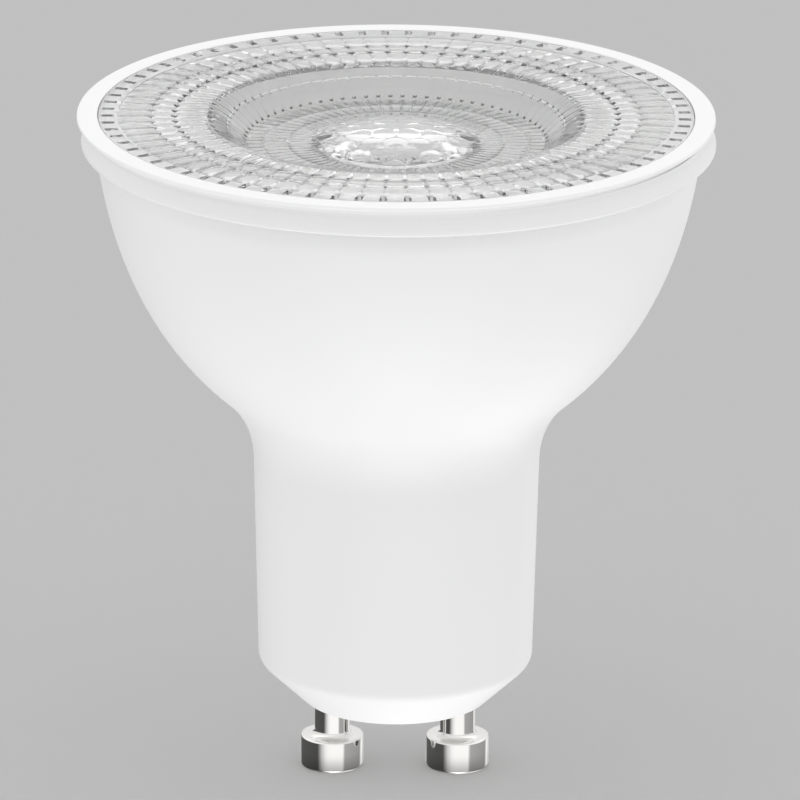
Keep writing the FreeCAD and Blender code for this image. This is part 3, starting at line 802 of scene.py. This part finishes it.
    def under_levels(self, radius: np.ndarray, angle: np.ndarray) -> np.ndarray:
        """Works out the lens's underside.

        The turned shape is flat under the rings, a cone down to the dish's underside, and a
        round bulge opposite the dome. Facets like the face's run round it outside the cone and
        inside it.

        Args:
            radius: Distances from the axis.
            angle: Angles round the axis, of the same shape.

        Returns:
            The levels.
        """
        under = self.top_z - self.dish_depth - self.floor_t
        knots_r = [0.0, self.floor_r + self.floor_t / 2, self.dish_r, self.outer_r]
        level = np.interp(radius, knots_r, [under, under, self.seat_z, self.seat_z])
        level -= cap(radius, self.bulge_r, self.bulge_drop)
        for band, depth in zip(self.under_bands, self.under_pillows):
            for ring in zip(band, band[1:]):
                level += depth * self.fall(radius, angle, ring, self.under_power)
        return level

    def build(self) -> bpy.types.Object:
        """Builds the face and the underside from their levels, joined by the edge.

        Rows crowd towards the facets' edges, and columns stand as listed.

        Returns:
            The lens's mesh object.
        """
        angles = (np.arange(self.facets)[:, None] + 0.5 + np.array(self.columns)).ravel()
        angles *= 2 * np.pi / self.facets
        outer_ring, middle_ring, inner_ring = self.rings
        start, end = self.grooves
        zones = (  # inner radius, outer radius, rows
            (self.floor_r - self.floor_edge, self.floor_r, 3),
            (self.floor_r, self.step_r, 9),
            (self.step_r, self.dish_r, 10),
            (self.dish_r, inner_ring, 16),
            (inner_ring, middle_ring, 14),
            (middle_ring, outer_ring, 16),
            (outer_ring, start, 3),
            (start, end, 5),
            (end, self.face_r, 2),
        )
        above_r = np.concatenate([
            np.linspace(0, self.dome_r - self.dome_edge, self.dome_rows),
            [self.dome_r, (self.dome_r + self.floor_r) / 2],
            *(crowd(inner, outer, rows) + self.row_gap for inner, outer, rows in zones),
            [self.face_r],
        ])
        below_r = np.concatenate([
            [self.outer_r, self.outer_r],
            *(crowd(outer, inner, self.under_rows) - self.row_gap
              for band in self.under_bands for outer, inner in zip(band, band[1:])),
            np.linspace(self.bulge_r, 0, self.bulge_rows),
        ])
        radius, angle = np.meshgrid(above_r, angles, indexing="ij")
        face = polar(radius, angle, self.face_levels(radius, angle), (self.shift, 0.0))
        radius, angle = np.meshgrid(below_r, angles, indexing="ij")
        level = self.under_levels(radius, angle)
        level[0] = self.top_z - self.bevel_h
        skirt = polar(radius, angle, level, (self.shift, 0.0))
        grid = np.vstack([face, skirt])[::-1]
        return mesh_object("clear_lens", grid, closed_rows=False, sharp_deg=25)

    def dress(self, piece: bpy.types.Object) -> None:
        """Gives each zone of the lens its own skin, all in the same clear plastic.

        The dish and the underside are polished, the rings are satin, the rim and the step's
        edge are frosted, the dashes at the pits where facets meet are tinted dark as painted
        shade, and the walls of the rim's grooves are tinted a little darker than the rest as
        painted shade.

        Args:
            piece: The lens.
        """
        skins = {
            Skin.POLISHED: ClearPlastic("polished_acrylic"),
            Skin.SATIN: ClearPlastic("satin_acrylic", haze=self.satin),
            Skin.FROSTED: ClearPlastic("frosted_acrylic", haze=self.frost),
            Skin.PIT_SHADE: ClearPlastic("pit_shade_acrylic", colour=(self.pit_shade_grey,) * 3),
            Skin.GROOVE_SHADE: ClearPlastic("groove_shade_acrylic", colour=(self.groove_shade_grey,) * 3),
        }
        stand_for(piece, "lens", skins.pop(Skin.POLISHED).material())
        for plastic in skins.values():
            piece.data.materials.append(plastic.material())
        centres = np.empty(len(piece.data.polygons) * 3, np.float32)
        piece.data.polygons.foreach_get("center", centres)
        x, y, level = centres.reshape(-1, 3).T / MM
        radius = np.hypot(x - self.shift, y)
        inward = self.inward(np.arctan2(y, x - self.shift))
        upper = level > self.top_z - self.dish_depth - self.skin_below
        kind = np.full(len(radius), Skin.POLISHED.value, np.int32)
        kind[radius > self.dish_r] = Skin.SATIN.value
        kind[radius > self.rings[0]] = Skin.FROSTED.value
        kind[level < self.seat_z + self.skin_above] = Skin.POLISHED.value
        kind[(np.abs(radius - self.step_r) < self.step_half) & upper] = Skin.FROSTED.value
        # Painted shade: the dashes' faces take the dark tint
        for ring, share in self.shade_dashes:
            on_ring = np.abs(radius - ring) < self.dash_half
            kind[on_ring & (inward < share) & upper] = Skin.PIT_SHADE.value
        start, end = self.grooves
        low, high = self.groove_walls
        # Painted shade: the grooves' walls take a darker tint
        walls = (radius > start) & (radius < end) & (inward > low) & (inward < high)
        kind[walls & upper] = Skin.GROOVE_SHADE.value
        piece.data.polygons.foreach_set("material_index", kind)


@dataclass
class ContactPin:
    """One hollow turned pin with its wide head. Its side is -1 for left and 1 for right."""

    side: int
    spacing: float = 10.0
    head_r: float = 2.5
    head_h: float = 2.6
    foot_round: float = 0.5
    shank_r: float = 1.4
    tip_round: float = 0.3
    boss_top_z: float = 10.45
    rivet_r: float = 1.9
    rivet_h: float = 0.55
    bore_r: float = 0.62
    bore_z: float = 4.6
    columns: int = 96

    def build(self) -> bpy.types.Object:
        """Turns the pin's outline about its own axis.

        Returns:
            The pin's mesh object.
        """
        top = self.boss_top_z + self.rivet_h
        outline = fillet_path([
            (0.0, 0.0),
            (self.head_r, 0.0, self.tip_round),
            (self.head_r, self.head_h, self.tip_round / 2),
            (self.shank_r, self.head_h, self.foot_round),
            (self.shank_r, self.boss_top_z),
            (self.rivet_r, self.boss_top_z),
            (self.rivet_r, top, self.tip_round),
            (self.bore_r, top),
            (self.bore_r, self.bore_z),
            (0.0, self.bore_z),
        ], steps=10)
        grid = turn(outline, self.columns, (self.side * self.spacing / 2, 0.0))
        return mesh_object(f"{self.name()}_pin", grid, closed_rows=False, sharp_deg=25)

    def name(self) -> str:
        """Says which side this pin is on."""
        return "left" if self.side < 0 else "right"

    def dress(self, piece: bpy.types.Object, material: bpy.types.Material) -> None:
        """Gives the pin its plating."""
        stand_for(piece, f"pin_{self.name()}", material)


# CAD nodes that show as they are


@dataclass
class LightSource:
    """The cup, board, light source and screws behind the lens."""

    aluminium: tuple[float, float, float] = (0.92, 0.92, 0.92)
    pad_grey: tuple[float, float, float] = (0.42, 0.43, 0.45)
    board_white: tuple[float, float, float] = (0.86, 0.86, 0.85)
    ceramic_white: tuple[float, float, float] = (0.83, 0.83, 0.82)
    coating_cream: tuple[float, float, float] = (0.9, 0.78, 0.42)
    steel: tuple[float, float, float] = (0.72, 0.72, 0.7)

    def dress(self) -> None:
        """Gives each node its finish."""
        dress_nodes({
            "heat_sink": (
                Finish("satin_aluminium", self.aluminium, roughness=0.5, metallic=0.25,
                       grain=Grain.SPUN, grain_size=0.25, relief=0.004, clouds=0.03),
                "cup_aluminium"),
            "thermal_pad": (
                Finish("grey_silicone", self.pad_grey, roughness=0.7, grain_size=0.3),
                "pad_grey"),
            "led_board": (
                Finish("white_solder_mask", self.board_white, roughness=0.4, grain_size=0.2,
                       relief=0.003, coat=0.3),
                "board_white"),
            "led_package": (
                Finish("white_ceramic", self.ceramic_white, roughness=0.45, grain_size=0.1),
                "plate_white"),
            "led_phosphor": (
                Finish("cream_coating", self.coating_cream, roughness=0.3, grain_size=0.12,
                       relief=0.01, clouds=0.08, cloud_size=0.8),
                "coating_cream"),
            "board_screws": (
                Finish("plated_steel", self.steel, roughness=0.28, metallic=1.0,
                       grain_size=0.2),
                "screw_steel"),
        })


@dataclass
class DriverParts:
    """The driver board with its components and leads."""

    board_green: tuple[float, float, float] = (0.03, 0.16, 0.06)
    sleeve_blue: tuple[float, float, float] = (0.02, 0.028, 0.06)
    ferrite_grey: tuple[float, float, float] = (0.07, 0.07, 0.075)
    copper: tuple[float, float, float] = (0.72, 0.28, 0.1)
    box_grey: tuple[float, float, float] = (0.33, 0.34, 0.36)
    resistor_green: tuple[float, float, float] = (0.1, 0.26, 0.2)
    chip_black: tuple[float, float, float] = (0.018, 0.018, 0.02)
    lead_white: tuple[float, float, float] = (0.8, 0.8, 0.78)

    def dress(self) -> None:
        """Gives each node its finish."""
        sleeve = Finish("vinyl_sleeve", self.sleeve_blue, roughness=0.32, grain_size=0.5,
                        clouds=0.1)
        black = Finish("black_epoxy", self.chip_black, roughness=0.5, grain_size=0.08,
                       relief=0.004)
        lead = Finish("silicone_lead", self.lead_white, roughness=0.5, grain=Grain.DRAWN,
                      grain_size=0.15)
        leads = ("input_lead_left", "input_lead_right", "output_lead_left", "output_lead_right")
        dress_nodes({
            "driver_board": (
                Finish("green_fibreglass", self.board_green, roughness=0.35,
                       grain=Grain.WOVEN, grain_size=0.4, coat=0.4),
                "board_green"),
            "bulk_capacitor": (sleeve, "can_sleeve"),
            "output_capacitor": (sleeve, "can_sleeve"),
            "inductor_core": (
                Finish("grey_ferrite", self.ferrite_grey, roughness=0.6, grain_size=0.12,
                       relief=0.008),
                "core_ferrite"),
            "inductor_winding": (
                Finish("enamelled_copper", self.copper, roughness=0.25, metallic=1.0,
                       grain=Grain.WOUND, grain_size=0.3, relief=0.08),
                "winding_copper"),
            "film_capacitor": (
                Finish("grey_box_plastic", self.box_grey, roughness=0.45, grain_size=0.2),
                "box_grey"),
            "fusible_resistor": (
                Finish("green_resistor_coat", self.resistor_green, roughness=0.4,
                       grain_size=0.25),
                "resistor_coat"),
            "bridge_rectifier": (black, "chip_black"),
            "driver_chip": (black, "chip_black"),
            **{node: (lead, "lead_white") for node in leads},
        })


# The studio


@dataclass
class Studio:
    """The floor, the soft light all round, and the camera.

    The ramps' places run from straight down (0) to straight up (1), and the stripes' run once
    round the lamp. The horizon ramp says how much of the stripes shows.
    """

    floor_size: float = 6.0
    floor_grey: float = 0.52
    strength: float = 1.9
    beside: float = 0.1
    soft: tuple[tuple[float, float], ...] = (
        (0.0, 0.96), (0.067, 0.76), (0.179, 0.589), (0.289, 0.474), (0.396, 0.41), (0.5, 0.379),
        (0.604, 0.37), (0.711, 0.395), (0.821, 0.463), (0.933, 0.6), (1.0, 0.78))
    sky: tuple[tuple[float, float], ...] = (
        (0.5, 0.51), (0.66, 0.51), (0.8, 0.663), (1.0, 0.95))
    stripes: tuple[tuple[float, float], ...] = (
        (0.0, 0.5), (0.08, 0.06), (0.35, 0.043), (0.375, 0.2), (0.4, 0.395), (0.44, 0.6),
        (0.48, 0.66), (0.61, 0.66), (0.635, 0.256), (0.84, 0.2), (0.87, 0.6), (0.9, 0.6),
        (0.93, 0.33), (1.0, 0.5))
    stripe_gain: float = 2.0
    glow: tuple[tuple[float, float], ...] = (
        (0.0, 0.8), (0.09, 0.8), (0.17, 0.3), (0.22, 0.15), (0.29, 0.25), (0.33, 0.5), (1.0, 0.5))
    horizon: tuple[tuple[float, float], ...] = ((0.47, 1.0), (0.53, 0.0))
    distance: float = 0.8
    elevation: float = 18.35
    target: tuple[float, float, float] = (0.00024, 0.0, 0.03063)
    roll: float = 0.38
    lens: float = 455.9
    clip: tuple[float, float] = (0.01, 20.0)

    def floor(self) -> None:
        """Lays the floor, which only the camera and refracted rays see, and only from above."""
        half = self.floor_size / 2
        mesh = bpy.data.meshes.new("studio_floor")
        corners = [(-half, -half, 0), (half, -half, 0), (half, half, 0), (-half, half, 0)]
        mesh.from_pydata(corners, [], [(0, 1, 2, 3)])
        plane = bpy.data.objects.new("studio_floor", mesh)
        bpy.context.scene.collection.objects.link(plane)
        material = bpy.data.materials.new("floor_paper")
        material.use_nodes = True
        graph = Graph(material.node_tree)
        paper = graph.add("ShaderNodeBsdfDiffuse", Color=(self.floor_grey,) * 3 + (1,))
        path = graph.add("ShaderNodeLightPath").outputs
        seen = graph.math("MAXIMUM", path["Is Camera Ray"], path["Is Transmission Ray"])
        back = graph.add("ShaderNodeNewGeometry").outputs["Backfacing"]
        shown = graph.math("MULTIPLY", seen, graph.math("SUBTRACT", 1.0, back))
        clear = graph.add("ShaderNodeBsdfTransparent")
        mix = graph.add("ShaderNodeMixShader", _0=shown, _1=clear.outputs[0],
                        _2=paper.outputs[0])
        graph.add("ShaderNodeOutputMaterial", Surface=mix.outputs[0])
        mesh.materials.append(material)

    def world(self) -> None:
        """Lights the lamp from a world that is brighter overhead and below than level with it.

        Mirror-like faces see upright stripes below the horizon, and a plain bright sky above
        it, which also lights the inside through the lens.
        """
        world = bpy.data.worlds.new("studio_light")
        world.use_nodes = True
        bpy.context.scene.world = world
        graph = Graph(world.node_tree)
        way = graph.add("ShaderNodeTexCoord").outputs["Generated"]
        x, y, z = graph.add("ShaderNodeSeparateXYZ", Vector=way).outputs
        height = graph.math("MULTIPLY_ADD", z, 0.5, 0.5)
        sides = graph.math("MULTIPLY_ADD", graph.math("MULTIPLY", x, x), self.beside, 1.0)
        soft = graph.math("MULTIPLY", graph.ramp(height, self.soft), sides)
        azimuth = graph.math("ARCTAN2", x, graph.math("MULTIPLY", y, -1.0))
        way_round = graph.math("MULTIPLY_ADD", azimuth, 1 / (2 * math.pi), 0.5)
        bars = graph.math("MULTIPLY", graph.ramp(way_round, self.stripes),
                          graph.ramp(height, self.glow))
        glossy = graph.add("ShaderNodeMix", data_type="RGBA",
                           _0=graph.ramp(height, self.horizon),
                           _6=graph.ramp(height, self.sky),
                           _7=graph.math("MULTIPLY", bars, self.stripe_gain))
        path = graph.add("ShaderNodeLightPath")
        light = graph.add("ShaderNodeMix", data_type="RGBA", _0=path.outputs["Is Glossy Ray"],
                          _6=soft, _7=glossy.outputs[2])
        background = graph.add("ShaderNodeBackground", Color=light.outputs[2],
                               Strength=self.strength)
        graph.add("ShaderNodeOutputWorld", Surface=background.outputs[0])

    def camera(self) -> None:
        """Sets the camera at the photograph's distance, height and roll."""
        data = bpy.data.cameras.new("studio_camera")
        data.lens = self.lens
        data.clip_start, data.clip_end = self.clip
        camera = bpy.data.objects.new("studio_camera", data)
        bpy.context.scene.collection.objects.link(camera)
        tilt = math.radians(self.elevation)
        x, y, z = self.target
        camera.location = (x, y - self.distance * math.cos(tilt),
                           z + self.distance * math.sin(tilt))
        camera.rotation_euler = (math.pi / 2 - tilt, 0.0, 0.0)
        camera.rotation_euler.rotate_axis("Z", math.radians(self.roll))
        bpy.context.scene.camera = camera

    def build(self) -> None:
        """Builds all of it and leaves the view settings plain."""
        self.floor()
        self.world()
        self.camera()
        bpy.context.scene.view_settings.view_transform = "Standard"
        LOG.info("studio built")


def main() -> None:
    """Builds and dresses the lamp, piece by piece, then the studio."""
    logging.basicConfig(level=logging.INFO, format="%(message)s")
    for part in (LampBody(), LensRing(), Lens()):
        part.dress(part.build())
    plating = Finish("bright_nickel", (0.78, 0.77, 0.75), roughness=0.09, metallic=1.0,
                     grain=Grain.DRAWN, grain_size=0.2, relief=0.002, clouds=0.04,
                     rough_spread=0.03).material()
    for side in (-1, 1):
        pin = ContactPin(side)
        pin.dress(pin.build(), plating)
    LightSource().dress()
    DriverParts().dress()
    Studio().build()


if __name__ == "__main__":
    main()
